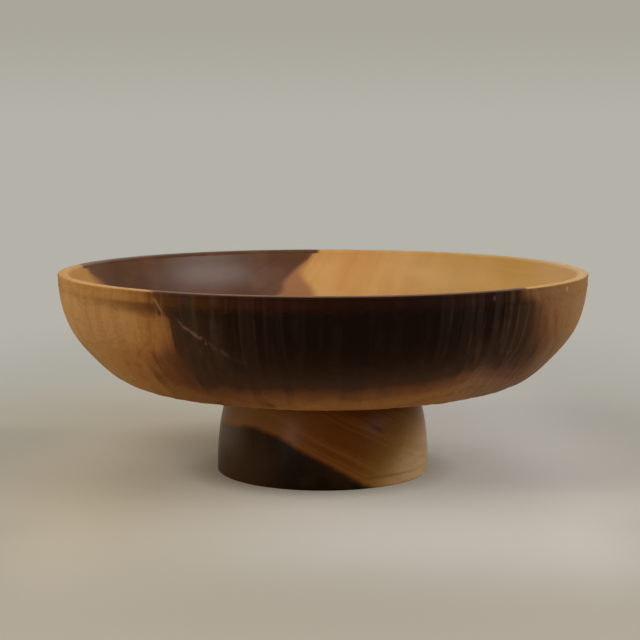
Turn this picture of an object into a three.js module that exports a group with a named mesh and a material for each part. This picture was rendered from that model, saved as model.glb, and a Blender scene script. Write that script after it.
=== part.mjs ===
// Footed wooden bowl: a shallow turned bowl glued on a low turned foot.
// Millimetres, +Z up. The origin is the centre of the standing face, on the table.

import * as THREE from 'three';

// Overall sizes
const rimDiameter = 300;
const overallHeight = 115.5;
const footHeight = 50; // from the table to the face where the bowl is seated

// Bowl: the rim and the smooth band under it
const rimThickness = 6.5;
const outerEdgeRound = 1.5;
const innerEdgeRound = 2.2;
const bandHeight = 7; // from the rim's top down to the ledge
const bandTaper = 0.3; // the band is this much smaller in radius at its lower edge
const ledgeDepth = 0.5; // the carved wall lies this far inside the band
const ledgeFall = 0.6;

// Bowl: the wall, its turn into the base, and the floor
const turnInset = 19.6; // from the rim's radius in to the turn
const turnRise = 18; // from the seat up to the turn
const turnSlope = 47.3; // degrees from level, where the wall turns under
const outerLean = 5.4; // degrees from upright, at the ledge
const innerLean = 3; // degrees from upright, at the rim's inner edge
const wallThickness = 9; // at the turn
const floorThickness = 13;
const seatMargin = 13; // flat face round the foot's top

// Foot
const footBaseDiameter = 122;
const footTopDiameter = 102;
const footEdgeRound = 0.8;
const standingRingWidth = 15;
const baseHollowDepth = 2;

// Joint: a spigot on the foot, glued in a recess in the bowl's base
const spigotDiameter = 70;
const spigotHeight = 6;
const spigotBevel = 0.8;
const glueGap = 0.3; // between the spigot's side and the recess
const glueWell = 0.5; // between the spigot's top and the recess

// Flats that stand for each turned round
const facets = 80;

const at = (radius, height) => new THREE.Vector2(radius, height);
const direction = (degrees) => {
  const angle = THREE.MathUtils.degToRad(degrees);
  return at(Math.cos(angle), Math.sin(angle));
};

// A curve that leaves one end and reaches the other along the two given pulls.
const sweep = (start, startPull, end, endPull) =>
  new THREE.CubicBezierCurve(start, start.clone().add(startPull), end.clone().add(endPull), end);

// A quarter round about a centre, between two angles in quarter turns.
const quarterRound = (centre, radius, from, to) =>
  new THREE.EllipseCurve(centre.x, centre.y, radius, radius, from * Math.PI / 2, to * Math.PI / 2);

// Joins curves end to end, each cut in its number of steps. A plain point joins by a straight line.
function outline(...stretches) {
  const points = [];
  for (const [curve, steps] of stretches) {
    const stretch = curve.isVector2 ? [curve] : curve.getPoints(steps);
    for (const point of stretch) {
      const last = points.at(-1);
      if (!last || last.distanceTo(point) > 1e-4) points.push(point);
    }
  }
  return points;
}

// An outline turned round the upright axis. It runs anticlockwise, from axis to axis.
function turned(points) {
  const geometry = new THREE.LatheGeometry(points, facets);
  geometry.rotateX(Math.PI / 2);
  return geometry;
}

const rimRadius = rimDiameter / 2;
const footTopRadius = footTopDiameter / 2;
const footBaseRadius = footBaseDiameter / 2;
const spigotRadius = spigotDiameter / 2;

function bowlGeometry() {
  const recessRadius = spigotRadius + glueGap;
  const recessTop = footHeight + spigotHeight + glueWell;
  const seatEdge = at(footTopRadius + seatMargin, footHeight);

  // The carved outside: from the ledge down the wall, round the turn and in to the seat.
  const bandFoot = at(rimRadius - bandTaper, overallHeight - bandHeight);
  const wallTop = at(bandFoot.x - ledgeDepth, bandFoot.y - ledgeFall);
  const turn = at(rimRadius - turnInset, footHeight + turnRise);
  const upTheTurn = direction(turnSlope);
  const wallHeight = wallTop.y - turn.y;
  const turnToSeat = turnRise / upTheTurn.y;
  const underside = sweep(
    seatEdge, at(0.59 * (turn.x - seatEdge.x), 0),
    turn, upTheTurn.clone().multiplyScalar(-0.97 * turnToSeat),
  );
  const wall = sweep(
    turn, upTheTurn.clone().multiplyScalar(0.33 * wallHeight),
    wallTop, direction(-90 - outerLean).multiplyScalar(0.56 * wallHeight),
  );

  // The smooth inside, a wall's thickness in from the turn.
  const innerTop = at(rimRadius - rimThickness, overallHeight - innerEdgeRound);
  const innerTurn = turn.clone().add(direction(turnSlope + 90).multiplyScalar(wallThickness));
  const floorCentre = at(0, footHeight + floorThickness);
  const innerHeight = innerTop.y - innerTurn.y;
  const floorDrop = innerTurn.y - floorCentre.y;
  const innerWall = sweep(
    innerTop, direction(-90 - innerLean).multiplyScalar(0.5 * innerHeight),
    innerTurn, upTheTurn.clone().multiplyScalar(0.27 * innerHeight),
  );
  const floor = sweep(
    innerTurn, upTheTurn.clone().multiplyScalar(-1.2 * floorDrop),
    floorCentre, at(0.6 * innerTurn.x, 0),
  );

  const outerEdge = at(rimRadius - outerEdgeRound, overallHeight - outerEdgeRound);
  const innerEdge = at(innerTop.x + innerEdgeRound, innerTop.y);

  return turned(outline(
    [at(0, recessTop)],
    [at(recessRadius, recessTop)],
    [at(recessRadius, footHeight)],
    [underside, 8],
    [wall, 8],
    [bandFoot],
    [quarterRound(outerEdge, outerEdgeRound, 0, 1), 3],
    [quarterRound(innerEdge, innerEdgeRound, 1, 2), 3],
    [innerWall, 8],
    [floor, 9],
  ));
}

function footGeometry() {
  const ringInner = footBaseRadius - footEdgeRound - standingRingWidth;
  const spigotTop = footHeight + spigotHeight;

  // The underside is hollowed a little, so that the foot stands on a ring.
  const hollow = sweep(
    at(0, baseHollowDepth), at(0.4 * ringInner, 0),
    at(ringInner, 0), at(-0.3 * ringInner, 0.7 * baseHollowDepth),
  );
  const baseEdge = at(footBaseRadius - footEdgeRound, footEdgeRound);

  // The side stands upright at the table and draws in towards the bowl.
  const sideBase = at(footBaseRadius, footEdgeRound);
  const sideHeight = footHeight - footEdgeRound;
  const draw = footBaseRadius - footTopRadius;
  const side = sweep(
    sideBase, at(0, 0.64 * sideHeight),
    at(footTopRadius, footHeight), at(0.42 * draw, -0.08 * sideHeight),
  );

  return turned(outline(
    [hollow, 6],
    [quarterRound(baseEdge, footEdgeRound, -1, 0), 2],
    [side, 9],
    [at(spigotRadius, footHeight)],
    [at(spigotRadius, spigotTop - spigotBevel)],
    [at(spigotRadius - spigotBevel, spigotTop)],
    [at(0, spigotTop)],
  ));
}

const bowl = new THREE.Mesh(
  bowlGeometry(),
  new THREE.MeshStandardMaterial({ color: 0x8f6238, roughness: 0.45, metalness: 0 }),
);
bowl.name = 'bowl';

const foot = new THREE.Mesh(
  footGeometry(),
  new THREE.MeshStandardMaterial({ color: 0x6d4526, roughness: 0.4, metalness: 0 }),
);
foot.name = 'foot';

const footedBowl = new THREE.Group();
footedBowl.name = 'footed_bowl';
footedBowl.add(bowl, foot);

export default footedBowl;
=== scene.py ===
# A shallow turned wooden bowl with a carved wall, glued on a low turned foot, on a plain pale floor.
# Metres, +Z up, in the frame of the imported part: the foot stands on the floor round the origin.

import math

import bpy
import numpy as np
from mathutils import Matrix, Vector
from mathutils.geometry import interpolate_bezier


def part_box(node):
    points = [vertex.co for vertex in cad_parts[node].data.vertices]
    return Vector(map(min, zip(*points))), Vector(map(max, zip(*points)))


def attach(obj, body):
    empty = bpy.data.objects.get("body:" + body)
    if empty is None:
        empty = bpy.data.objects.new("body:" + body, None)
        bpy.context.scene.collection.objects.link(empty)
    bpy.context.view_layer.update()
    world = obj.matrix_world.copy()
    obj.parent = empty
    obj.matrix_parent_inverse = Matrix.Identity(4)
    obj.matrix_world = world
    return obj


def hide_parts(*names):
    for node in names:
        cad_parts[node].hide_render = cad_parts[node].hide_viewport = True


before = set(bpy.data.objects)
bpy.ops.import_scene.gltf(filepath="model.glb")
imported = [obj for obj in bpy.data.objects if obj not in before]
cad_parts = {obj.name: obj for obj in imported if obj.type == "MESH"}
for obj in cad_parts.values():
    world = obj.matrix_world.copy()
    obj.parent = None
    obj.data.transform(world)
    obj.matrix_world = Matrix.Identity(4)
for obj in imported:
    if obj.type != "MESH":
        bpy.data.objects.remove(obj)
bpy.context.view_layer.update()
mm = 0.001


# Camera
# It stands in front of the bowl, a little above the rim, and looks 7 degrees down into it.

camera_place = (-1.65 * mm, -866.92 * mm, 192.41 * mm)
camera_pitch = math.radians(6.996)
picture_width_px = 640
focal_length_px = 1517.56

bpy.ops.object.camera_add(location=camera_place, rotation=(math.pi / 2 - camera_pitch, 0, 0))
camera = bpy.context.object
camera.data.lens = camera.data.sensor_width * focal_length_px / picture_width_px
bpy.context.scene.camera = camera


# Foot
# A low drum, turned from a block of its own: dark heartwood at its lower left, warm brown sapwood over it.
# It is hollowed a little underneath to stand on a ring, and its spigot is glued into the bowl's recess.

foot_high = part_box("foot")[1]
seat_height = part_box("bowl")[0].z
foot_base_radius = foot_high.x
spigot_top = foot_high.z
foot_top_radius = 51 * mm
foot_edge_round = 0.8 * mm
standing_ring_width = 15 * mm
base_hollow_depth = 2 * mm
spigot_radius = 35 * mm
spigot_bevel = 0.8 * mm
foot_columns = 288
hollow_steps = 12
foot_side_steps = 40
edge_steps = 4


def at(radius, height):
    """A place in the side view of a turned piece."""
    return Vector((radius, height))


def pull(degrees, length):
    """A direction in the side view, counted up from level, with a length."""
    angle = math.radians(degrees)
    return at(math.cos(angle), math.sin(angle)) * length


def sweep(start, start_pull, end, end_pull, steps):
    """A curve's points after its start. It leaves one end and reaches the other along the two pulls."""
    return interpolate_bezier(start, start + start_pull, end + end_pull, end, steps + 1)[1:]


def quarter_round(centre, radius, first_quarter, steps):
    """The points of a quarter circle, run anticlockwise."""
    quarters = [first_quarter + step / steps for step in range(steps + 1)]
    return [centre + pull(90 * quarter, radius) for quarter in quarters]


def turned(name, outline, columns):
    """A mesh turned round the upright axis from an outline of places in the side view."""
    bpy.ops.object.select_all(action="DESELECT")
    bpy.ops.mesh.primitive_plane_add(size=1)
    piece = bpy.context.object
    piece.name = name
    bpy.ops.object.mode_set(mode="EDIT")
    bpy.ops.mesh.select_all(action="SELECT")
    bpy.ops.mesh.merge(type="CENTER")
    bpy.ops.transform.translate(value=(outline[0].x, 0, outline[0].y))
    for here, there in zip(outline, outline[1:]):
        step = (there.x - here.x, 0, there.y - here.y)
        bpy.ops.mesh.extrude_region_move(TRANSFORM_OT_translate={"value": step})
    bpy.ops.object.mode_set(mode="OBJECT")
    lathe = piece.modifiers.new("lathe", "SCREW")
    lathe.steps = columns
    lathe.render_steps = columns
    bpy.ops.object.modifier_apply(modifier=lathe.name)
    bpy.ops.object.mode_set(mode="EDIT")
    close_up()
    return piece


def close_up():
    """Merges the doubles of the mesh being edited, turns its faces outwards and leaves edit mode."""
    merge_distance = 0.002 * mm
    bpy.ops.mesh.select_all(action="SELECT")
    bpy.ops.mesh.remove_doubles(threshold=merge_distance)
    bpy.ops.mesh.normals_make_consistent(inside=False)
    bpy.ops.object.mode_set(mode="OBJECT")


def smooth_shaded(piece):
    """Shades a piece smooth, but for the edges that turn by more than the crease angle."""
    crease_degrees = 40
    bpy.ops.object.select_all(action="DESELECT")
    piece.select_set(True)
    bpy.context.view_layer.objects.active = piece
    bpy.ops.object.shade_smooth_by_angle(angle=math.radians(crease_degrees))


class Wire:
    """A value in a finish. Sums, products and powers of wires add the Math nodes that work them out."""

    def __init__(self, finish, socket):
        self.finish = finish
        self.socket = socket

    def math(self, operation, *values):
        return self.finish.node("ShaderNodeMath", {"operation": operation}, dict(enumerate(values)))

    def __add__(self, other):
        return self.math("ADD", self, other)

    def __sub__(self, other):
        return self.math("SUBTRACT", self, other)

    def __rsub__(self, other):
        return self.math("SUBTRACT", other, self)

    def __mul__(self, other):
        return self.math("MULTIPLY", self, other)

    def __truediv__(self, other):
        return self.math("DIVIDE", self, other)

    def __pow__(self, other):
        return self.math("POWER", self, other)

    def __abs__(self):
        return self.math("ABSOLUTE", self)

    __radd__ = __add__
    __rmul__ = __mul__


class Finish:
    """The nodes of a material, or of the surroundings. Places in it are in millimetres."""

    def __init__(self, owner):
        owner.use_nodes = True
        self.owner = owner
        self.tree = owner.node_tree

    def node(self, kind, settings, inputs, output=0):
        """Adds a node: first its settings, then the values or wires of its inputs."""
        made = self.tree.nodes.new(kind)
        for name, value in settings.items():
            if name == "stops":
                self.set_stops(made.color_ramp, value)
            else:
                setattr(made, name, value)
        for name, value in inputs.items():
            self.join(value, made.inputs[name])
        return Wire(self, made.outputs[output])

    def join(self, value, socket):
        if isinstance(value, Wire):
            self.tree.links.new(value.socket, socket)
        else:
            socket.default_value = value

    def set_stops(self, ramp, stops):
        while len(ramp.elements) < len(stops):
            ramp.elements.new(1)
        for element, (position, colour) in zip(ramp.elements, stops):
            element.position = position
            element.color = colour

    def mix(self, amount, below, above, mode="MIX"):
        """One colour laid over another, by an amount from 0 to 1."""
        settings = {"data_type": "RGBA", "blend_type": mode}
        return self.node("ShaderNodeMix", settings, {0: amount, 6: below, 7: above}, output=2)

    def fade(self, value, start, end):
        """0 before the start and 1 after the end, with a soft change between them."""
        settings = {"interpolation_type": "SMOOTHSTEP"}
        inputs = {"Value": value, "From Min": start, "From Max": end, "To Min": 0, "To Max": 1}
        return self.node("ShaderNodeMapRange", settings, inputs)

    def thin_line(self, off, half_width):
        """1 on a line and 0 past its half width, from how far off the line a place is."""
        return 1 - self.fade(abs(off), 0, half_width)

    def ramp(self, value, stops):
        """A colour by a value. Each stop is a value and its colour, in rising order."""
        start = stops[0][0]
        span = stops[-1][0] - start
        inputs = {"Value": value, "From Min": start, "From Max": start + span}
        share = self.node("ShaderNodeMapRange", {}, inputs)
        marks = [((mark - start) / span, colour) for mark, colour in stops]
        return self.node("ShaderNodeValToRGB", {"stops": marks}, {"Fac": share})

    def vector_math(self, operation, inputs, output=0):
        return self.node("ShaderNodeVectorMath", {"operation": operation}, inputs, output)

    def place(self):
        """The place on the piece."""
        metres = self.node("ShaderNodeTexCoord", {}, {}, output="Object")
        return self.vector_math("SCALE", {0: metres, "Scale": 1 / mm})

    def along_grain(self, place, turn_degrees, lengths=(1, 1, 1)):
        """A place seen along the grain, which lies level, that many degrees left of straight away.

        The figure is drawn out by the lengths: across the grain, along it and up."""
        settings = {"vector_type": "TEXTURE"}
        inputs = {"Vector": place, "Rotation": (0, 0, math.radians(turn_degrees)), "Scale": lengths}
        return self.node("ShaderNodeMapping", settings, inputs)

    def noise(self, place, size, detail=3, roughness=0.5):
        """Soft noise whose blotches are about the given size."""
        inputs = {"Vector": place, "Scale": 1 / size, "Detail": detail, "Roughness": roughness}
        return self.node("ShaderNodeTexNoise", {}, inputs)

    def bands(self, value, width, detail=2):
        """Uneven bands across a value, as growth rings lie."""
        inputs = {"W": value, "Scale": 1 / width, "Detail": detail, "Roughness": 0.6}
        return self.node("ShaderNodeTexNoise", {"noise_dimensions": "1D"}, inputs)

    def wandering(self, place, reach, size):
        """A place moved about by soft noise, so that straight bounds wander as grain does."""
        inputs = {"Vector": place, "Scale": 1 / size, "Detail": 3}
        wander = self.node("ShaderNodeTexNoise", {}, inputs, output="Color")
        centred = self.vector_math("SUBTRACT", {0: wander, 1: (0.5, 0.5, 0.5)})
        scaled = self.vector_math("SCALE", {0: centred, "Scale": reach})
        return self.vector_math("ADD", {0: place, 1: scaled})

    def parts(self, vector):
        """The three numbers of a place."""
        made = self.node("ShaderNodeSeparateXYZ", {}, {0: vector})
        return [Wire(self, made.socket.node.outputs[axis]) for axis in "XYZ"]

    def mark(self, name):
        """The value painted on the mesh under a name."""
        return self.node("ShaderNodeAttribute", {"attribute_name": name}, {}, output="Fac")

    def surface(self, colour, roughness, height, bump_depth, specular):
        """Joins the looks to the material's shader. The bump depth is in metres."""
        shader = self.tree.nodes["Principled BSDF"]
        self.join(colour, shader.inputs["Base Color"])
        self.join(roughness, shader.inputs["Roughness"])
        bump = self.node("ShaderNodeBump", {}, {"Height": height, "Distance": bump_depth, "Strength": 1})
        self.join(bump, shader.inputs["Normal"])
        shader.inputs["Specular IOR Level"].default_value = specular


def light_share(screen_share):
    """How much light a share of a screen's full number stands for."""
    if screen_share < 0.04045:
        return screen_share / 12.92
    return ((screen_share + 0.055) / 1.055) ** 2.4


def seen(red, green, blue):
    """A colour from the three numbers, of 255, that it shows as on a screen."""
    return tuple(light_share(number / 255) for number in (red, green, blue)) + (1,)


ring_inner = foot_base_radius - foot_edge_round - standing_ring_width
side_height = seat_height - foot_edge_round
foot_draw = foot_base_radius - foot_top_radius
foot_outline = [at(0, base_hollow_depth)]
foot_outline += sweep(
    foot_outline[0], at(0.4 * ring_inner, 0),
    at(ring_inner, 0), at(-0.3 * ring_inner, 0.7 * base_hollow_depth), hollow_steps,
)
foot_edge_centre = at(foot_base_radius - foot_edge_round, foot_edge_round)
foot_outline += quarter_round(foot_edge_centre, foot_edge_round, -1, edge_steps)
foot_outline += sweep(
    at(foot_base_radius, foot_edge_round), at(0, 0.64 * side_height),
    at(foot_top_radius, seat_height), at(0.42 * foot_draw, -0.08 * side_height), foot_side_steps,
)
foot_outline += [
    at(spigot_radius, seat_height),
    at(spigot_radius, spigot_top - spigot_bevel),
    at(spigot_radius - spigot_bevel, spigot_top),
    at(0, spigot_top),
]
foot = turned("foot_turned", foot_outline, foot_columns)
smooth_shaded(foot)


def foot_finish():
    """Smooth oiled wood: heartwood at the lower left, under a slanting edge, and streaked sapwood."""
    wood = Finish(bpy.data.materials.new("foot_oiled_wood"))
    place = wood.place()
    across, along, up = wood.parts(wood.wandering(place, 4, 25))

    # The heartwood lies under a level top that falls a little to the back, and under a slant to the right.
    heart_top = 28.6
    heart_slant = 13.4
    corner_round = 8
    level = up + along * 0.08 - heart_top
    slant = across * 0.476 + up * 0.879 - heart_slant
    outside = wood.node("ShaderNodeMath", {"operation": "SMOOTH_MAX"}, {0: level, 1: slant, 2: corner_round})
    grain_turn = -12
    streaks = wood.noise(wood.along_grain(place, grain_turn, (1, 16, 1)), 2.5, detail=4, roughness=0.6)
    clouds = wood.noise(wood.along_grain(place, grain_turn, (1, 2.5, 1)), 16)
    sapwood = wood.fade(outside + streaks * 3, -0.7, 3.7)
    rings = wood.bands(outside, 6)

    # Both woods change from side to side. The heartwood is darkest in front, and high up at the left it has a
    # painted greyish sheen. The sapwood is darkest in the middle and pales to the right.
    dark = wood.mix(wood.fade(across, -56, -12), seen(57, 38, 22), seen(22, 12, 1))
    dark = wood.mix(wood.fade(clouds, 0.42, 0.68) * 0.2, dark, seen(58, 40, 27))
    # Painted sheen: high up at the left the heartwood is mixed towards a pale grey.
    sheen_side = wood.fade(up, 8, 28) * wood.fade(across * -1, 38, 55)
    dark = wood.mix(sheen_side * 0.4, dark, seen(116, 98, 82))
    pale = wood.ramp(across * 0.8 - up * 0.55, [
        (-58, seen(122, 88, 55)),
        (-46, seen(112, 72, 36)),
        (-30, seen(104, 60, 25)),
        (-12, seen(89, 46, 10)),
        (4, seen(86, 45, 8)),
        (12, seen(93, 57, 16)),
        (18, seen(103, 70, 28)),
        (23, seen(122, 89, 48)),
        (28, seen(146, 113, 72)),
        (34, seen(165, 132, 93)),
        (42, seen(172, 140, 102)),
    ])
    pale = wood.mix(wood.fade(rings, 0.45, 0.7) * 0.3, pale, seen(132, 84, 38))
    pale = wood.mix(wood.fade(streaks, 0.5, 0.8) * 0.3, pale, seen(84, 48, 20))

    # A dark streak runs down the slant in front, and a thin turned line lies over the standing edge.
    off_streak = wood.thin_line(across * 0.514 + up * 0.857 - 43.1, 1.7)
    down_streak = across * 0.857 - up * 0.514 + 4.9
    streak = off_streak * wood.fade(down_streak, 0, 14) * (1 - wood.fade(down_streak, 15, 21))
    streak = streak * (1 - wood.fade(along, -30, -10))
    turned_line = wood.thin_line(up - 6, 1.1) * wood.fade(across, 16, 26)
    turned_line = turned_line * (1 - wood.fade(across, 40, 56) * 0.6)
    pale = wood.mix(streak * 0.75, pale, seen(44, 20, 6))
    pale = wood.mix(turned_line * 0.45, pale, seen(84, 48, 20))
    colour = wood.mix(sapwood, dark, pale)

    roughness = 0.27 + streaks * 0.06
    wood.surface(colour, roughness, streaks, bump_depth=0.02 * mm, specular=0.04)
    return wood.owner


foot.data.materials.append(foot_finish())
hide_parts("foot")
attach(foot, "root")


# Bowl
# One turned block. The inside, the rim and the smooth band under it are as the lathe left them. The wall and
# the underside are cut over with a shallow gouge, in strokes that start at the band and run to the foot.

bowl_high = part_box("bowl")[1]
rim_radius = bowl_high.x
rim_height = bowl_high.z
rim_thickness = 6.5 * mm
outer_edge_round = 1.5 * mm
inner_edge_round = 2.2 * mm
band_height = 7 * mm
band_taper = 0.3 * mm
ledge_depth = 0.2 * mm
ledge_fall = 0.6 * mm
turn_inset = 19.6 * mm
turn_rise = 18 * mm
turn_slope = 47.3
outer_lean = 5.4
inner_lean = 3
wall_thickness = 9 * mm
floor_thickness = 13 * mm
seat_margin = 13 * mm
glue_gap = 0.3 * mm
glue_well = 0.5 * mm
band_step = 1.8 * mm
band_rows = 4
rim_seam_inset = 2.6 * mm
carved_columns = 1280
plain_columns = 256
underside_steps = 24
wall_steps = 28
inner_edge_steps = 5
inner_wall_steps = 14
inner_floor_steps = 16

seat_edge = at(foot_top_radius + seat_margin, seat_height)
band_foot = at(rim_radius - band_taper, rim_height - band_height)
wall_top = at(band_foot.x - ledge_depth, band_foot.y - ledge_fall)
wall_turn = at(rim_radius - turn_inset, seat_height + turn_rise)
wall_rise = wall_top.y - wall_turn.y
seat_pull = at(0.59 * (wall_turn.x - seat_edge.x), 0)
underside_pull = pull(turn_slope, -0.97 * turn_rise / math.sin(math.radians(turn_slope)))
lower_wall_pull = pull(turn_slope, 0.33 * wall_rise)
upper_wall_pull = pull(-90 - outer_lean, 0.56 * wall_rise)
edge_centre = at(rim_radius - outer_edge_round, rim_height - outer_edge_round)
rim_middle = at(rim_radius - rim_seam_inset, rim_height)

# The carved shell runs from the seat's edge up to the middle of the rim's flat top.
wall_outline = [seat_edge]
wall_outline += sweep(seat_edge, seat_pull, wall_turn, underside_pull, underside_steps)
wall_outline += sweep(wall_turn, lower_wall_pull, wall_top, upper_wall_pull, wall_steps)
band_outline = [band_foot + at(0, band_step * row) for row in range(band_rows)]
band_outline += quarter_round(edge_centre, outer_edge_round, 0, edge_steps)
carved = turned("bowl_turned", wall_outline + band_outline + [rim_middle], carved_columns)

# The smooth inside runs on from there, down the wall and over the floor to the axis.
inner_edge = at(rim_radius - rim_thickness + inner_edge_round, rim_height - inner_edge_round)
inner_top = at(rim_radius - rim_thickness, inner_edge.y)
inner_turn = wall_turn + pull(turn_slope + 90, wall_thickness)
inner_rise = inner_top.y - inner_turn.y
floor_centre = at(0, seat_height + floor_thickness)
floor_drop = inner_turn.y - floor_centre.y
inner_top_pull = pull(-90 - inner_lean, 0.5 * inner_rise)
inner_turn_pull = pull(turn_slope, 0.27 * inner_rise)
floor_edge_pull = pull(turn_slope, -1.2 * floor_drop)
floor_centre_pull = at(0.6 * inner_turn.x, 0)
bridged_gap = at(0.4 * mm, 0)
inside_outline = [rim_middle - bridged_gap]
inside_outline += quarter_round(inner_edge, inner_edge_round, 1, inner_edge_steps)
inside_outline += sweep(inner_top, inner_top_pull, inner_turn, inner_turn_pull, inner_wall_steps)
inside_outline += sweep(inner_turn, floor_edge_pull, floor_centre, floor_centre_pull, inner_floor_steps)
inside = turned("bowl_inside", inside_outline, plain_columns)

# The seat and the recess for the spigot.
recess_radius = spigot_radius + glue_gap
recess_top = spigot_top + glue_well
seat_outline = [
    at(0, recess_top),
    at(recess_radius, recess_top),
    at(recess_radius, seat_height),
    seat_edge - bridged_gap,
]
seat = turned("bowl_seat", seat_outline, plain_columns)


class Carving:
    """The cuts in the carved shell: how deep each point of its wall lies under the turned surface."""

    def __init__(self, piece):
        self.piece = piece
        points = len(piece.data.vertices)
        self.places = np.empty(points * 3)
        piece.data.vertices.foreach_get("co", self.places)
        self.places = self.places.reshape(-1, 3)
        self.outward = np.empty(points * 3)
        piece.data.vertex_normals.foreach_get("vector", self.outward)
        self.outward = self.outward.reshape(-1, 3)
        self.radius = np.hypot(self.places[:, 0], self.places[:, 1])
        self.height = self.places[:, 2]
        self.right = np.degrees(np.arctan2(self.places[:, 0], -self.places[:, 1]))
        self.boldness = np.interp(self.right, bold_degrees, bold_amounts)
        wall = np.array([tuple(point) for point in wall_outline])
        steps = np.linalg.norm(np.diff(wall, axis=0), axis=1)
        distance = np.concatenate([[0], np.cumsum(steps)])
        self.length = distance[-1]
        self.up = np.interp(self.radius + self.height, wall.sum(axis=1), distance)
        self.on_wall = self.height < wall_top.y + 0.1 * ledge_fall
        self.depth = np.zeros(points)
        self.ridge = np.zeros(points)
        self.tone = np.zeros(points)
        self.stain = np.zeros(points)
        self.pale = np.zeros(points)

    def across(self, right_degrees):
        """How far round the bowl each point lies from a line, counted right from the front."""
        turn = (self.right - right_degrees + 180) % 360 - 180
        return np.radians(turn) * self.radius

    def cut_row(self, middle, half_length, count):
        """Cuts a row of scoops round the bowl. Where two of them meet side by side, they leave a ridge."""
        # How much the scoops differ. The half widths, depths and slides are in millimetres.
        spacing_range = (-0.45, 0.45)
        length_range = (0.75, 1.25)
        half_width_range = (3.2, 6.4)
        depth_range = (0.3, 0.75)
        slide_range = (-7, 7)
        lean_spread = 0.06
        ridge_reach = 0.45 * mm * self.boldness
        shallowest = 0.05 * mm * self.boldness
        row_depth = np.zeros_like(self.depth)
        beside = np.zeros_like(self.depth)
        row_tone = np.zeros_like(self.depth)
        for scoop in range(count):
            right_degrees = (scoop + chance.uniform(*spacing_range)) * 360 / count - 180
            boldness = np.interp(right_degrees, bold_degrees, bold_amounts)
            length = half_length * chance.uniform(*length_range)
            width = chance.uniform(*half_width_range) * (1.15 - 0.3 * boldness) * mm
            depth = chance.uniform(*depth_range) * boldness * mm
            run = self.up - middle - chance.uniform(*slide_range) * mm
            side = self.across(right_degrees) - chance.normal(0, lean_spread) * run
            near = (np.abs(run) < length) & (np.abs(side) < width)
            hollow = depth * (1 - (side[near] / width) ** 2) * (1 - np.abs(run[near] / length) ** 3)
            wins = hollow > row_depth[near]
            beside[near] = np.maximum(beside[near], np.minimum(row_depth[near], hollow))
            row_depth[near] = np.maximum(row_depth[near], hollow)
            row_tone[near] = np.where(wins, chance.uniform(-1, 1), row_tone[near])
        met = np.clip(beside / shallowest, 0, 1)
        row_ridge = np.clip(1 - (row_depth - beside) / ridge_reach, 0, 1) * met
        wins = row_depth > self.depth
        self.depth[wins] = row_depth[wins]
        self.ridge[wins] = row_ridge[wins]
        self.tone[wins] = row_tone[wins]

    def ease_ends(self):
        """Makes the cuts shallower where they start under the band and where they run out at the seat.

        The band itself is left as turned, and only the tones of the cuts run on over it."""
        top_ease = 5 * mm
        seat_ease = 8 * mm
        under_band = np.clip((self.up - self.length + top_ease) / top_ease, 0, 1)
        self.depth *= (1 - 0.55 * under_band) * np.clip(self.up / seat_ease, 0, 1) * self.on_wall

    def route(self, stops):
        """A line of places, in degrees and heights: how far along it each point is, and how high over it."""
        places = np.array(stops)
        share = (self.right - places[0, 0]) / (places[-1, 0] - places[0, 0])
        over = self.height - np.interp(self.right, places[:, 0], places[:, 1] * mm)
        return share, over

    def step(self, stops, depth, fade_up):
        """A cut that deepens down to a slanting line, and ends there in a torn step."""
        step_width = 1.2 * mm
        share, over = self.route(stops)
        near_ends = np.clip(np.minimum(share, 1 - share) * 12, 0, 1)
        above = np.clip(0.5 + over / step_width, 0, 1)
        self.depth += depth * np.clip(1 - over / fade_up, 0, 1) * above * near_ends * self.on_wall

    def wedge(self, stops, reach, depth):
        """A deeper hollow under a line. It widens to the right and ends there at once.

        It is painted dark: gathered oil and painted shade.
        """
        share, over = self.route(stops)
        inside_it = (share > 0) & (share < 1) & (over < 0.2 * mm)
        share = np.clip(share, 0, 1)
        amount = inside_it * np.clip(1 + over / (reach * (0.5 + 0.5 * share)), 0, 1)
        self.depth += depth * amount * share
        self.stain += np.clip(amount * 1.7, 0, 1) * (0.1 + 0.9 * share ** 1.5)

    def dent(self, right_degrees, height, half_width, half_height, depth):
        """A soft dent. It gives how much of it each point has."""
        side = self.across(right_degrees) / half_width
        rise = (self.height - height) / half_height
        amount = np.exp(-np.abs(side) ** 3 - np.abs(rise) ** 3)
        self.depth += depth * amount
        return amount

    def finish(self):
        """Moves the points in by the depth of the cuts, and paints the marks that the finish reads."""
        moved = self.places - self.outward * self.depth[:, None]
        self.piece.data.vertices.foreach_set("co", moved.ravel())
        marks = {
            "ridge": self.ridge * self.boldness ** 1.5,
            "tone": self.tone * self.boldness,
            "stain": self.stain,
            "pale": self.pale,
            "carved": self.on_wall,
        }
        for name, values in marks.items():
            layer = self.piece.data.attributes.new(name, "FLOAT", "POINT")
            layer.data.foreach_set("value", values.astype(float))


# Rows of scoops, from the band down to the foot. Places and lengths run up the wall from the seat.
# The hand was bold at the right, lighter at the left and lightest in the middle, by degrees from the front.
bold_degrees = (-180, -60, -34, -22, -8, 16, 26, 36, 50, 60, 180)
bold_amounts = (0.8, 0.6, 0.8, 0.9, 0.35, 0.25, 0.7, 1.3, 1.3, 0.6, 0.8)
carving_seed = 11
chance = np.random.default_rng(carving_seed)
carving = Carving(carved)
carving.cut_row(carving.length - 9 * mm, half_length=31 * mm, count=150)
carving.cut_row(carving.length - 47 * mm, half_length=25 * mm, count=144)
carving.cut_row(carving.length - 78 * mm, half_length=22 * mm, count=120)
carving.cut_row(15 * mm, half_length=20 * mm, count=84)
carving.ease_ends()
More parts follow.
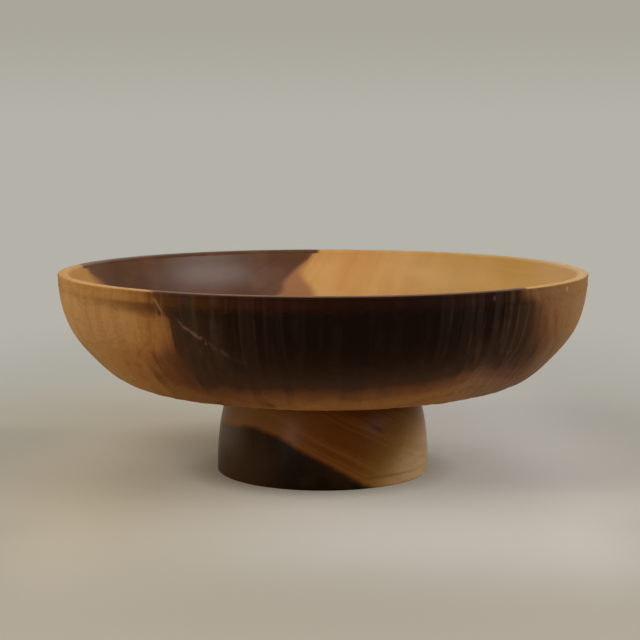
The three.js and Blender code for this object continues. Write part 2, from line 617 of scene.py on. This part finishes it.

# At the left a row of scoops ends in a slanting step. Under the band there, a hollow is painted dark,
# with gathered oil and painted shade.
# The rest are nicks of use, a pale chip with a painted glint, and a small dent with a painted glint.
torn_line = [(-31, 105.5), (-27.5, 98.5), (-24.5, 93), (-21, 88.8), (-17, 84), (-13, 80)]
hollow_line = [(-58, 108.7), (-34, 108.4)]
carving.step(torn_line, depth=0.4 * mm, fade_up=8 * mm)
carving.wedge(hollow_line, reach=8 * mm, depth=0.5 * mm)
dark_nick = carving.dent(-13, 55.8 * mm, half_width=2.2 * mm, half_height=1.2 * mm, depth=0.6 * mm)
chip_and_glint = carving.dent(58.3, 111.5 * mm, half_width=0.8 * mm, half_height=0.7 * mm, depth=0.2 * mm)
painted_glint = carving.dent(34.3, 112.4 * mm, half_width=0.7 * mm, half_height=0.5 * mm, depth=0.2 * mm)
# The nick is painted dark as well.
carving.stain += dark_nick
# A painted glint on the pale chip, and a fainter painted glint on the small dent.
carving.pale += chip_and_glint
carving.pale += 0.15 * painted_glint
for right_degrees in (-9.2, 0.6, 6.1, 12.8, 40.5):
    carving.dent(right_degrees, band_foot.y, half_width=2.4 * mm, half_height=0.8 * mm, depth=0.35 * mm)
carving.finish()


class BowlWood(Finish):
    """The bowl's figure, worked out in the solid, so it runs on from the wall over the rim to the inside.

    The log lay level, 19 degrees off the line of sight, with its heart above the bowl: the rings are big
    flattened rounds about that line, dark inside and golden outside. Further back they are smaller, and
    their middle lies lower and further left."""

    def __init__(self, name):
        super().__init__(bpy.data.materials.new(name))
        grain_turn = 18.9
        squareness = 2.62
        heart_left = 29.1
        heart_height = 303.3
        half_width = 132.6
        half_height = 235.1
        place = self.place()
        self.to_right, self.to_back, self.height = self.parts(place)
        across, along, up = self.parts(self.along_grain(self.wandering(place, 3, 26), grain_turn))
        sideways = (across + heart_left + along * 0.08) / (half_width - along * 0.105)
        upward = (up - heart_height + along * 0.102) / (half_height - along * 0.155)
        regular = (abs(sideways) ** squareness + abs(upward) ** squareness) ** (1 / squareness)

        # The real rings draw in towards the top: at the left only in front, and most of all at the right, by
        # the rim.
        in_front = 1 - self.fade(self.to_back, -90, -20)
        left_draw = self.fade(self.to_right * -1, 0, 85) * in_front * 0.0024
        right_draw = self.fade(self.to_right, 72, 120) * 0.005
        pinch = self.fade(self.to_right, 70, 95) * self.fade(self.height, 104, 115) * 0.04
        middle = self.fade(self.to_right, -15, 45) * 0.015
        self.rings = regular + (self.height - 101) * left_draw
        self.rings = self.rings + (self.height - 98) * right_draw + middle + pinch
        fibre_place = self.along_grain(place, grain_turn, (1, 16, 1))
        self.fibres = self.noise(fibre_place, 2, detail=4, roughness=0.6)
        self.clouds = self.noise(self.along_grain(place, grain_turn, (1, 2.2, 1)), 22)


def outside_finish():
    """The gouged wall, where open grain took the oil deep: near black in the heartwood."""
    wood = BowlWood("bowl_carved_wood")
    place = wood.place()
    carved_share = wood.mark("carved")

    # High up at the left the heartwood ends at once, most of all below the band. Low down there, and a little
    # all round underneath, it runs out early.
    in_front = 1 - wood.fade(wood.to_back, -60, -40)
    to_left = wood.to_right * -1
    sharp_edge = wood.fade(to_left, 62, 78) * wood.fade(wood.height, 80, 93) * in_front
    bulge = wood.fade(wood.height, 90, 97) * 0.003 - wood.fade(wood.height, 101, 106) * 0.016
    low_edge = wood.fade(to_left, 10, 60) * (1 - wood.fade(wood.height, 58, 70)) * in_front
    underneath = 1 - wood.fade(wood.height, 56, 82)
    under_band = 1 - wood.fade(wood.height, 103, 108)

    # Each scoop took its own tone, least of all low down at the right.
    evened = wood.fade(wood.to_right, 20, 60) * (1 - wood.fade(wood.height, 70, 84)) * 0.8
    tone = wood.mark("tone") * (1 - evened)
    rings = wood.rings + tone * 0.012 + low_edge * 0.016 + underneath * 0.006
    sharp_at = 0.991
    rings = rings + (rings - sharp_at + bulge) * sharp_edge
    rings = rings + (wood.fade(rings, sharp_at, 1.005) - 0.5) * sharp_edge * under_band * 0.024
    heart = 1 - wood.fade(rings, 0.94, 1.02)
    colour = wood.ramp(rings, [
        (0.86, seen(19, 8, 3)),
        (0.89, seen(22, 10, 4)),
        (0.91, seen(27, 13, 5)),
        (0.93, seen(34, 19, 9)),
        (0.95, seen(45, 28, 16)),
        (0.97, seen(57, 37, 22)),
        (0.985, seen(68, 43, 25)),
        (1.00, seen(99, 61, 33)),
        (1.01, seen(116, 73, 38)),
        (1.022, seen(134, 87, 43)),
        (1.04, seen(152, 103, 53)),
        (1.065, seen(161, 113, 60)),
        (1.10, seen(169, 123, 69)),
        (1.16, seen(177, 132, 79)),
    ])

    # The turned band is closer-grained, with a sharp edge to the sapwood. Its heartwood is redder at the left
    # and near black at the right.
    band = wood.ramp(rings, [
        (0.84, seen(38, 14, 3)),
        (0.90, seen(46, 19, 5)),
        (0.93, seen(53, 27, 8)),
        (0.957, seen(67, 38, 14)),
        (0.985, seen(73, 44, 17)),
        (1.00, seen(95, 58, 26)),
        (1.01, seen(130, 85, 43)),
        (1.022, seen(141, 97, 49)),
        (1.065, seen(150, 105, 55)),
        (1.15, seen(170, 123, 68)),
    ])
    band = wood.mix(wood.fade(wood.to_right, -30, 30) * heart * 0.8, band, seen(26, 11, 4))
    ragged_height = wood.height + wood.noise(place, 3) * 6 - 3
    on_band = wood.fade(ragged_height, 105, 110)
    colour = wood.mix(on_band, colour, band)

    # Wall and band alike, the sapwood is browner at the right.
    browner = wood.fade(wood.to_right, 48, 86) * (1 - wood.fade(wood.to_right, 125, 148) * 0.4)
    brown = wood.mix(wood.fade(wood.height, 68, 94), seen(112, 88, 74), seen(88, 62, 48))
    colour = wood.mix(browner * wood.fade(rings, 0.97, 1.03) * 0.56, colour, brown)

    # The ridges between the cuts are paler in patches: partly rubbed wood and partly a painted highlight
    # where light catches them. At both sides of the wall there are upright streaks of painted sheen.
    ridge = wood.mark("ridge") * (0.25 + wood.fade(wood.noise(place, 12), 0.38, 0.6) * 0.75)
    # Painted highlight along the ridges in the heartwood, partly rubbed paler wood.
    colour = wood.mix(ridge * heart * 0.28, colour, seen(88, 65, 48))
    around = wood.node("ShaderNodeMath", {"operation": "ARCTAN2"}, {0: wood.to_right, 1: wood.to_back * -1})
    sheen_streaks = wood.fade(wood.bands(around * rim_radius / mm, 6, detail=1), 0.48, 0.64) * in_front
    at_right = wood.fade(wood.to_right, 62, 84) * (1 - wood.fade(wood.to_right, 102, 113))
    at_left = wood.fade(to_left, 12, 34) * (1 - wood.fade(to_left, 54, 70))
    sheen_streaks = sheen_streaks * (at_right * 0.28 + at_left * 0.18) * wood.fade(wood.height, 72, 96)
    # Painted sheen: upright streaks high up at both sides of the wall.
    colour = wood.mix(sheen_streaks, colour, seen(66, 50, 39))

    # Some cuts took less oil and some more. Over them lie the fine streaks of the fibres and, in patches of
    # the sapwood, those of the rings.
    colour = wood.mix(wood.fade(tone * -1, 0.15, 1.2) * heart * 0.45, colour, seen(64, 48, 36))
    deep_tone = wood.fade(tone, 0.2, 1.2) * (0.5 - on_band * 0.35)
    colour = wood.mix(deep_tone, colour, seen(140, 120, 100), "MULTIPLY")
    patches = wood.fade(wood.noise(place, 16), 0.35, 0.6) * (1 - heart)
    ring_streaks = wood.fade(wood.bands(rings + wood.clouds * 0.04, 0.02), 0.4, 0.7) * patches
    colour = wood.mix(ring_streaks * 0.35, colour, seen(190, 160, 130), "MULTIPLY")
    streaks = wood.fade(wood.fibres, 0.45, 0.75) * 0.2
    colour = wood.mix(streaks, colour, seen(150, 120, 90), "MULTIPLY")

    # The torn step has a pale edge, and the hollow under the band ends in a painted highlight, as of a lip
    # that catches the light. The wall is a little darker high up at the far left, the hollow is painted dark
    # with oil and painted shade, and a pale chip and a small dent carry painted glints.
    beyond = wood.to_right + 54
    torn_place = wood.height - 89.4 + beyond * 0.6 - beyond * beyond * 0.0054
    torn = wood.thin_line(torn_place + wood.noise(place, 3) * 3 - 1.5, 1.8)
    torn = torn * wood.fade(beyond, -20, -16) * (1 - wood.fade(beyond, -10, 22)) * in_front
    torn = torn * wood.fade(wood.noise(place, 3.2), 0.42, 0.62)
    lip_highlight = wood.thin_line(wood.to_right + 78.6 + (wood.height - 104) * 0.6, 1.3)
    lip_highlight = lip_highlight * wood.fade(wood.height, 104, 107) * (1 - wood.fade(wood.height, 111, 113)) * in_front
    # Darker high up at the far left.
    darker_high_left = wood.fade(to_left, 74, 94) * (1 - wood.fade(to_left, 115, 140)) * in_front
    darker_high_left = darker_high_left * wood.fade(wood.height, 74, 92)
    colour = wood.mix(darker_high_left * 0.8, colour, seen(228, 222, 218), "MULTIPLY")
    # Painted shade and gathered oil: the hollow under the band and the nick are painted dark.
    colour = wood.mix(wood.mark("stain") * 0.9, colour, seen(86, 50, 22))
    # A painted highlight on the lip. The torn edge is pale wood.
    colour = wood.mix(torn * 0.32 + lip_highlight * 0.5, colour, seen(140, 104, 80))
    # Painted glints on the chip and the small dent.
    colour = wood.mix(wood.mark("pale") * 0.8, colour, seen(212, 184, 156))
    roughness = 0.62 - ridge * 0.1
    wood.surface(colour, roughness, wood.fibres * carved_share, bump_depth=0.08 * mm, specular=0.035)
    return wood.owner


def inside_finish(name, heart_edge, heart_roughness, gold_roughness, specular):
    """The lathe-smooth wood: oiled to a satin inside, and rubbed dull by hands on the rim."""
    wood = BowlWood(name)
    ring_bands = wood.bands(wood.rings, 0.05)

    # Below the rim the heartwood draws back a little, and lower down it reaches further.
    hollowed_edge = wood.fade(wood.height, 104, 111) * 0.01 - wood.fade(wood.height, 88, 97) * 0.02 + 0.012
    heart_share = 1 - wood.fade(wood.rings - hollowed_edge, heart_edge - 0.008, heart_edge + 0.008)
    heart = wood.mix(wood.fade(wood.clouds, 0.35, 0.7), seen(82, 49, 25), seen(97, 61, 34))
    heart = wood.mix(wood.fade(ring_bands, 0.5, 0.75) * 0.4, heart, seen(68, 38, 19))
    heart = wood.mix(wood.fade(wood.to_right * -1, 122, 142), heart, seen(104, 70, 46))

    # The sapwood grows yellower to the right and paler at the far right. Low at its edge is a redder corner.
    gold = wood.mix(wood.fade(wood.to_right, 10, 110), seen(184, 132, 67), seen(184, 143, 74))
    gold = wood.mix(wood.fade(ring_bands, 0.3, 0.7) * 0.5, gold, seen(196, 148, 82))
    gold = wood.mix(wood.fade(wood.clouds, 0.4, 0.75) * 0.4, gold, seen(202, 160, 104))
    gold = wood.mix(wood.fade(wood.to_right, 118, 146) * 0.7, gold, seen(200, 162, 112))
    low_edge = wood.rings + wood.fade(wood.height, 84, 104) * 0.08
    gold = wood.mix(1 - wood.fade(low_edge, 1.058, 1.088), gold, seen(146, 97, 57))
    colour = wood.mix(heart_share, gold, heart)

    # On the floor of the bowl the fibres show as fine darker streaks.
    streaks = wood.fade(wood.fibres, 0.45, 0.75) * (1 - wood.fade(wood.height, 72, 86)) * 0.35
    colour = wood.mix(streaks, colour, seen(190, 172, 150), "MULTIPLY")
    roughness = heart_share * (heart_roughness - gold_roughness) + gold_roughness
    roughness = roughness + wood.fibres * 0.04 + wood.clouds * 0.14 - 0.07
    wood.surface(colour, roughness, wood.fibres, bump_depth=0.01 * mm, specular=specular)
    return wood.owner


# The carved shell is the outside but for the rim's flat top, and the seat goes with it.
outside_wood = outside_finish()
inside_wood = inside_finish(
    "bowl_smooth_wood", heart_edge=0.986, heart_roughness=0.35, gold_roughness=0.54, specular=0.36,
)
rim_wood = inside_finish(
    "bowl_rim_wood", heart_edge=1.002, heart_roughness=0.5, gold_roughness=0.6, specular=0.12,
)
rim_slot = 1
carved.data.materials.append(outside_wood)
carved.data.materials.append(rim_wood)
inside.data.materials.append(inside_wood)
inside.data.materials.append(rim_wood)
seat.data.materials.append(outside_wood)
for face in carved.data.polygons:
    if face.center.z > rim_height - 0.2 * outer_edge_round:
        face.material_index = rim_slot
for face in inside.data.polygons:
    if face.center.z > inner_edge.y:
        face.material_index = rim_slot

# The three shells are joined, and the two narrow gaps between them bridged, on the flats.
bpy.ops.object.select_all(action="DESELECT")
for shell in (carved, inside, seat):
    shell.select_set(True)
bpy.context.view_layer.objects.active = carved
bpy.ops.object.join()
bowl = bpy.context.object
bpy.ops.object.mode_set(mode="EDIT")
bpy.ops.mesh.select_mode(type="EDGE")
for side in (-1, 1):
    bpy.ops.mesh.select_all(action="DESELECT")
    bpy.ops.mesh.select_non_manifold(
        extend=False, use_wire=False, use_multi_face=False, use_non_contiguous=False,
    )
    bpy.ops.object.mode_set(mode="OBJECT")
    ends = np.empty(len(bowl.data.edges) * 2, int)
    bowl.data.edges.foreach_get("vertices", ends)
    places = np.empty(len(bowl.data.vertices) * 3)
    bowl.data.vertices.foreach_get("co", places)
    heights = places.reshape(-1, 3)[:, 2][ends.reshape(-1, 2)].mean(axis=1)
    chosen = np.empty(len(bowl.data.edges), bool)
    bowl.data.edges.foreach_get("select", chosen)
    chosen &= (heights - wall_turn.y) * side > 0
    bowl.data.edges.foreach_set("select", chosen)
    bpy.ops.object.mode_set(mode="EDIT")
    bpy.ops.mesh.bridge_edge_loops()
close_up()
smooth_shaded(bowl)
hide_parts("bowl")
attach(bowl, "root")


# Floor
# A plain pale sheet, warmer at the left, and cooler and lighter at the right as painted light from that side.
# It has a painted pool of light before the foot, a painted shadow beside the foot and round its base, and
# painted shade at the sides and in the front corners. It is darker towards the front. Further off it fades
# into the background.


class Surroundings(Finish):
    """What stands round the bowl. The eye and mirrors see it at its own brightness."""

    def seen_directly(self):
        path = self.node("ShaderNodeLightPath", {}, {}).socket.node.outputs
        rays = [Wire(self, path[f"Is {kind} Ray"]) for kind in ("Camera", "Glossy", "Transmission")]
        return rays[0] + rays[1] + rays[2]


floor_side = 8
backdrop = seen(181, 178, 169)
bpy.ops.object.select_all(action="DESELECT")
bpy.ops.mesh.primitive_plane_add(size=floor_side)
floor = bpy.context.object
floor.name = "floor"
sheet = Surroundings(bpy.data.materials.new("floor_sheet"))
away = sheet.vector_math("LENGTH", {0: sheet.place()}, output="Value")
to_right, to_back = sheet.parts(sheet.place())[:2]
to_front = to_back * -1
# Painted light: cooler and lighter at the right, where the light comes from.
on_right = sheet.fade(to_right, -140, 140)
sheet_colour = sheet.mix(on_right, seen(197, 187, 167), seen(199, 194, 186))
# A painted pool of light before the foot.
lit_before_foot = sheet.fade(to_front, 30, 80) * (1 - sheet.fade(to_front, 190, 270))
lit_before_foot = lit_before_foot * sheet.fade(to_right, -110, 40)
sheet_colour = sheet.mix(lit_before_foot * 0.9, sheet_colour, seen(208, 202, 192))
sheet_colour = sheet.mix(sheet.fade(to_front, 150, 290), sheet_colour, seen(179, 170, 156))
# Painted shade at the far right and at the left.
far_right = sheet.fade(to_right, 120, 210)
near_left = sheet.fade(to_right * -1, 120, 210) * (1 - sheet.fade(to_back, 90, 150))
sheet_colour = sheet.mix(far_right * 0.6 + near_left * 0.7, sheet_colour, seen(172, 166, 153))
# Painted shade in the front corners.
shaded_front_corners = sheet.fade(abs(to_right), 110, 200) * sheet.fade(to_front, 90, 150) * 0.35
sheet_colour = sheet.mix(shaded_front_corners, sheet_colour, seen(140, 135, 126))
# A painted shadow beside the foot, at its left.
foot_shade_centre = (-76, 80, 0)
from_shade = sheet.vector_math("DISTANCE", {0: sheet.place(), 1: foot_shade_centre}, output="Value")
sheet_colour = sheet.mix(0.45 - sheet.fade(from_shade, 0, 80) * 0.45, sheet_colour, seen(140, 124, 98))
# A painted contact shadow round the foot's base.
sheet_colour = sheet.mix(0.35 - sheet.fade(away, 60, 84) * 0.35, sheet_colour, seen(110, 98, 82))
behind = sheet.fade(away, 150, 450) * sheet.fade(to_back, 40, 140)
sheet_colour = sheet.mix(behind, sheet_colour, backdrop)
sheet_colour = sheet.mix(sheet.fade(away, 280, 560), sheet_colour, backdrop)

# Near the foot the lamps light the sheet, so it takes the bowl's shadow, but a small share of it glows, more
# at the right: painted light that lightens the shadow there. Further off it shows its own colour.
glow = sheet.node("ShaderNodeEmission", {}, {"Color": sheet_colour, "Strength": 1})
# A painted glow near the foot, stronger at the right.
near_glow = 0.02 + on_right * 0.2
near = (1 - sheet.fade(away, 200, 800)) * (1 - sheet.fade(abs(to_right), 220, 400))
near = near * (1 - sheet.fade(to_front, 290, 450))
own_glow = 1 - near * (1 - near_glow)
own_glow = own_glow * sheet.seen_directly()
lit = sheet.node("ShaderNodeBsdfDiffuse", {}, {"Color": sheet_colour})
shown = sheet.node("ShaderNodeMixShader", {}, {0: own_glow, 1: lit, 2: glow})
sheet.join(shown, sheet.tree.nodes["Material Output"].inputs["Surface"])
floor.data.materials.append(sheet.owner)


# Light
# A small low window and a broad lamp at the left, a broad lamp at the right, weaker ones in front and behind,
# and pale surroundings.


def lamp(name, right_degrees, up_degrees, distance, width, brightness, tint=(1, 1, 1)):
    """A square soft lamp that faces the bowl from a direction, counted right from the front and up."""
    bowl_middle = Vector((0, 0, 0.7 * rim_height))
    right = math.radians(right_degrees)
    up = math.radians(up_degrees)
    toward = Vector((math.sin(right) * math.cos(up), -math.cos(right) * math.cos(up), math.sin(up)))
    facing = toward.to_track_quat("Z", "Y").to_euler()
    bpy.ops.object.light_add(type="AREA", location=bowl_middle + toward * distance, rotation=facing)
    light = bpy.context.object
    light.name = name
    light.data.shape = "SQUARE"
    light.data.size = width
    light.data.energy = brightness * math.pi * width * width
    light.data.color = tint


warm = (1, 0.97, 0.9)
lamp("left_window", -35, 8, distance=1.5, width=0.2, brightness=32, tint=warm)
lamp("left_lamp", -55, 34, distance=1.6, width=1, brightness=4, tint=warm)
lamp("right_lamp", 64, 24, distance=1.6, width=1, brightness=4.8)
lamp("front_lamp", 8, 48, distance=1.7, width=1, brightness=0.7)
lamp("back_lamp", 180, 42, distance=1.7, width=1.2, brightness=2)

studio = Surroundings(bpy.data.worlds.new("studio"))
bpy.context.scene.world = studio.owner
ambient = studio.node("ShaderNodeBackground", {}, {"Color": (1, 1, 1, 1), "Strength": 0.2})
heading = studio.node("ShaderNodeTexCoord", {}, {}, output="Generated")
upward = studio.parts(heading)[2]
background = studio.mix(studio.fade(upward, 0, 0.075), backdrop, seen(170, 166, 156))
shown_backdrop = studio.node("ShaderNodeBackground", {}, {"Color": background, "Strength": 1})
both_worlds = {0: studio.seen_directly(), 1: ambient, 2: shown_backdrop}
seen_world = studio.node("ShaderNodeMixShader", {}, both_worlds)
studio.join(seen_world, studio.tree.nodes["World Output"].inputs["Surface"])

bpy.context.scene.view_settings.view_transform = "Standard"
